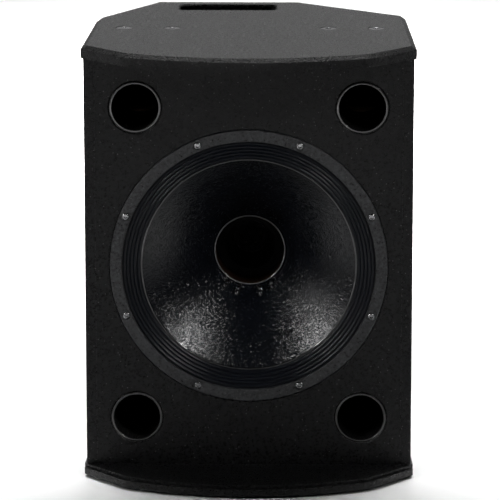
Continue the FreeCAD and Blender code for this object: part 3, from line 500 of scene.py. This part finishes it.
def make_surround():
    """Five half-round rolls between two flat lips, its inner lip on the cone's rim."""
    sunk, raised = 1.2, 1.0
    outer_depth = depth_of("surround", 0) + sunk
    inner_depth = depth_of("surround", 1) - raised
    outer, inner, lip = 142.6, 122.6, CONE_RIM_RADIUS + 0.2
    rolls, steps, height, thick = 5, 10, 1.5, 0.7
    front = [(radius_of("surround") - 0.1, outer_depth)]
    for step in range(rolls * steps + 1):
        share = step / (rolls * steps)
        wave = abs(math.sin(math.pi * rolls * share)) ** 0.8
        depth = outer_depth + (inner_depth - outer_depth) * share - height * wave
        front.append((outer + (inner - outer) * share, depth))
    front.append((lip, inner_depth))
    back = [(radius, depth + thick) for radius, depth in reversed(front)]
    bm = bmesh.new()
    turn(bm, DRIVER, front + back, segments=256, closed=True)
    piece = finish_piece("surround_rolls", bm)
    stand_in(piece, "surround", body=None)
    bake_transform(piece)


def make_spider():
    """A disc of cloth in concentric waves, from the basket's shelf down to the former."""
    outer, shelf, inner = radius_of("spider") - 0.1, 79.0, FORMER_RADIUS + 0.2
    waves, steps, height, thick, dish = 6, 10, 1.6, 0.7, 4.7
    inner_depth = depth_of("spider", 1) - thick - 0.1
    outer_depth = inner_depth - dish
    front = [(outer, outer_depth)]
    for step in range(waves * steps + 1):
        share = step / (waves * steps)
        wave = abs(math.sin(math.pi * waves * share))
        front.append((shelf + (inner - shelf) * share, outer_depth + dish * share - height * wave))
    back = [(radius, depth + thick) for radius, depth in reversed(front)]
    bm = bmesh.new()
    turn(bm, DRIVER, front + back, segments=160, closed=True)
    piece = finish_piece("spider_waves", bm)
    stand_in(piece, "spider", body=None)
    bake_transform(piece)


def cone_point(share):
    """A point of the cone's front, (radius, depth), from its neck (0) to its rim (1)."""
    neck = Vector((FORMER_RADIUS, CONE_NECK_DEPTH))
    rim = Vector((CONE_RIM_RADIUS, CONE_RIM_DEPTH))
    chord = rim - neck
    inward = Vector((-chord.y, chord.x)).normalized()
    if inward.y > 0:
        inward = -inward
    return neck + chord * share + inward * CONE_BULGE * 4 * share * (1 - share)


def make_cone():
    """A flared paper shell, slightly uneven."""
    steps, thick, spread = 150, 1.2, 0.4
    lump_size, lump_height = 9, 0.10
    ripple_size, ripple_height = 3.6, 0.06
    front = [tuple(cone_point(step / steps)) for step in range(steps + 1)]
    rim_radius = front[-1][0]
    back = [(radius + spread, depth + thick) for radius, depth in reversed(front)]
    bm = bmesh.new()
    turn(bm, DRIVER, front + back, segments=512, closed=True)
    for vert in bm.verts:
        reach = math.hypot(vert.co.x - AXIS_X, vert.co.z - AXIS_Z) / MM
        if reach > rim_radius - 1 or reach < FORMER_RADIUS + 1.5:
            continue
        lump = noise.noise(vert.co / (lump_size * MM)) * lump_height
        ripple = noise.noise(vert.co / (ripple_size * MM)) * ripple_height
        vert.co.y += (lump + ripple) * MM
    stand_in(finish_piece("cone_shell", bm, sharp=50), "cone", body="cone_assembly")


def make_former():
    """The voice coil's tube, its front edge rolled over the cone's neck under a fillet of glue."""
    outer, front, back = FORMER_RADIUS, FORMER_FRONT, FORMER_BACK
    wall, half_roll, roll_height = 0.8, 0.9, 0.6
    fillet, fillet_top, fillet_end = 0.6, 2.2, 3.6
    inner, roll_depth = outer - wall, front + roll_height
    profile = [(outer, back), (inner, back), (inner, roll_depth)]
    for step in range(7):
        angle = math.pi * step / 6
        across = inner + half_roll - half_roll * math.cos(angle)
        profile.append((across, roll_depth - roll_height * math.sin(angle)))
    profile.append((outer + fillet, front + fillet_top))
    profile.append((outer, front + fillet_end))
    bm = bmesh.new()
    turn(bm, DRIVER, profile, segments=160, closed=True)
    stand_in(finish_piece("former_tube", bm), "voice_coil_former", body="cone_assembly")


def make_glue_rings():
    """The glossy beads of glue round the cone's rim and round its neck; the neck's bead is pale grey, partly
    a painted highlight for the bright ring at the neck.
    """
    rings = (("rim_glue", "glue", CONE_RIM_RADIUS + 0.6, CONE_RIM_DEPTH - 0.9, 1.5, 1.0),
             # The neck's bead takes the pale clear_glue tone: a painted highlight ring as well as glue.
             ("neck_glue", "clear_glue", FORMER_RADIUS + 0.3, FORMER_FRONT + 0.3, 0.8, 0.8))
    for name, finish, radius, depth, half, height in rings:
        profile = []
        for step in range(12):
            angle = 2 * math.pi * step / 12
            profile.append((radius + half * math.cos(angle), depth + height * math.sin(angle)))
        bm = bmesh.new()
        turn(bm, DRIVER, profile, segments=256, closed=True)
        lump_size, lump_height = 7, 0.25
        for vert in bm.verts:
            vert.co.y += noise.noise(vert.co / (lump_size * MM)) * lump_height * MM
        piece = finish_piece(name, bm, sharp=80)
        dress(piece, MATERIALS[finish])
        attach(piece, "cone_assembly")


def bead_along(bm, points, radii, sides=14):
    """A rounded bead of changing thickness along a line of points, in metres."""
    rings = []
    for index, (point, radius) in enumerate(zip(points, radii)):
        ahead = points[min(index + 1, len(points) - 1)] - points[max(index - 1, 0)]
        turn_to = ahead.to_track_quat("Z", "Y")
        ring = []
        for side in range(sides):
            angle = 2 * math.pi * side / sides
            rim = Vector((radius * math.cos(angle), radius * math.sin(angle), 0))
            ring.append(bm.verts.new(point + turn_to @ rim))
        rings.append(ring)
    for first, second in zip(rings, rings[1:]):
        for side in range(sides):
            following = (side + 1) % sides
            bm.faces.new((first[side], first[following], second[following], second[side]))
    bm.faces.new(rings[0])
    bm.faces.new(rings[-1])


def make_leads():
    """Four stub leads off the neck in two pairs, each a run of lumps of glue, with loose drips between."""
    bm = bmesh.new()
    start = 2.0
    shape = [0.05, 1.8, 2.6, 2.2, 3.2, 4.2, 3.2, 2.2, 2.8, 4.0, 3.0, 0.05]
    runs = ((56, 16.0, 2), (77, 18.5, -3), (106, 18.5, 3), (124, 16.0, 2))
    drips = ((50, 1.5), (55, 1.0), (64, 1.1), (82, 1.0), (92, 0.9), (100, 1.2), (114, 1.3), (130, 2.3))
    for angle, length, lean in runs:
        points, radii = [], []
        for index, radius in enumerate(shape):
            along = index / (len(shape) - 1)
            reach, depth = cone_point((length * along + start) / CONE_SLANT)
            swing = math.radians(angle + lean * along + random.uniform(-1.8, 1.8))
            lift = 0.7 * radius + random.uniform(0, 0.6)
            local = Vector((reach * math.cos(swing), reach * math.sin(swing), depth - lift))
            points.append(DRIVER @ (local * MM))
            radii.append(radius * random.uniform(0.75, 1.1) * MM)
        bead_along(bm, points, radii)
    for angle, size in drips:
        reach, depth = cone_point(random.uniform(3.0, 7.0) / CONE_SLANT)
        swing = math.radians(angle)
        spot = Vector((reach * math.cos(swing), reach * math.sin(swing), depth - 0.4 * size)) * MM
        spread = Matrix.Diagonal((random.uniform(1.0, 1.6), random.uniform(0.9, 1.3), 0.8, 1))
        bmesh.ops.create_icosphere(bm, subdivisions=2, radius=size * MM,
                                   matrix=DRIVER @ Matrix.Translation(spot) @ spread)
    lump_size, lump_height = 2.2, 0.45
    for vert in bm.verts:
        vert.co += noise.noise_vector(vert.co / (lump_size * MM)) * lump_height * MM
    piece = finish_piece("lead_glue", bm, sharp=80)
    smooth = piece.modifiers.new("smooth", "SUBSURF")
    smooth.levels = smooth.render_levels = 1
    stand_in(piece, "lead_glue_beads", body="cone_assembly")


def screw(bm, placing, head, key, thread, length, dome, recess=2.6):
    """A screw along the local Z of placing: the head's top at 0, the shank going to +Z."""
    edge = dome + 0.5
    profile = [(0.02, recess), (key * 0.98, recess, 6), (key, 0.25, 6), (key + 0.25, 0.0)]
    for step in range(1, 6):
        share = step / 5
        profile.append((key + 0.25 + (head - key - 0.55) * share, dome * share ** 2))
    profile += [(head, edge), (head, edge + 0.9), (thread, edge + 1.0), (thread, length - 0.8)]
    profile += [(thread - 0.8, length), (0.02, length)]
    turn(bm, placing, profile, segments=48)


def make_woofer_screws():
    """Eight socket-head screws in the ring, the first one half a step off the horizontal."""
    front, back = depth_of("woofer_screws", 0), depth_of("woofer_screws", 1)
    count, head, key, thread = 8, 4.2, 2.0, 2.4
    step = 2 * math.pi / count
    circle = (radius_of("woofer_screws") - head) / math.cos(step / 2)
    bm = bmesh.new()
    for index in range(count):
        angle = step * (index + 0.5)
        spot = Vector((circle * math.cos(angle), circle * math.sin(angle), front)) * MM
        spin = Matrix.Rotation(random.uniform(0, math.pi / 3), 4, "Z")
        screw(bm, DRIVER @ Matrix.Translation(spot) @ spin, head, key, thread, back - front, dome=0.9)
    stand_in(finish_piece("ring_screws", bm, sharp=40), "woofer_screws")


def make_fixing_bolts():
    """Four flat-headed socket bolts in the top panel."""
    low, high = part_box("top_fixing_bolts")
    head, key, thread = 9.6, 3.9, 5.0
    pitch = 55
    outer, inner = head * MM, (head + pitch) * MM
    middle = (low.y + high.y) / 2
    downward = Matrix.Rotation(math.pi, 4, "X")
    bm = bmesh.new()
    for x in (low.x + outer, low.x + inner, high.x - inner, high.x - outer):
        spin = Matrix.Rotation(random.uniform(0, math.pi / 3), 4, "Z")
        placing = Matrix.Translation((x, middle, high.z)) @ downward @ spin
        screw(bm, placing, head, key, thread, (high.z - low.z) / MM, dome=0.5, recess=4.5)
    stand_in(finish_piece("panel_bolts", bm, sharp=40), "top_fixing_bolts")


def make_port(node):
    """A tube with a flat lip, rounded at both edges, that stands in a groove round the hole."""
    low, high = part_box(node)
    centre = Vector(((low.x + high.x) / 2, low.y, (low.z + high.z) / 2))
    length = (high.y - low.y) / MM
    outer = (high.x - low.x) / 2 / MM
    wall, gap, edge = 2.6, 0.9, 0.45
    placing = Matrix.Translation(centre) @ DRIVER.to_3x3().to_4x4()
    inner, rim = outer - gap - wall + edge, outer - gap - edge
    profile = [(outer - wall, length), (outer - wall, 4.0), (inner - edge, 1.4)]
    for step in range(1, 5):
        angle = math.pi / 2 * step / 4
        profile.append((inner - edge * math.cos(angle), edge - edge * math.sin(angle)))
    for step in range(1, 5):
        angle = math.pi / 2 * step / 4
        profile.append((rim + edge * math.sin(angle), edge - edge * math.cos(angle)))
    profile.append((outer - gap, 2.0))
    profile.append((outer, 2.6))
    profile.append((outer, length))
    bm = bmesh.new()
    turn(bm, placing, profile, segments=96, closed=True)
    stand_in(finish_piece(node + "_tube", bm), node)


MATERIALS = finishes()
make_camera()
make_studio()
for node_name, slot_name in slots.items():
    dress(nodes[node_name], MATERIALS[slot_name])
make_panels()
make_surround()
make_spider()
make_cone()
make_former()
make_glue_rings()
make_leads()
make_woofer_screws()
make_fixing_bolts()
for corner in ("top_left", "top_right", "bottom_left", "bottom_right"):
    make_port(corner + "_port_tube")
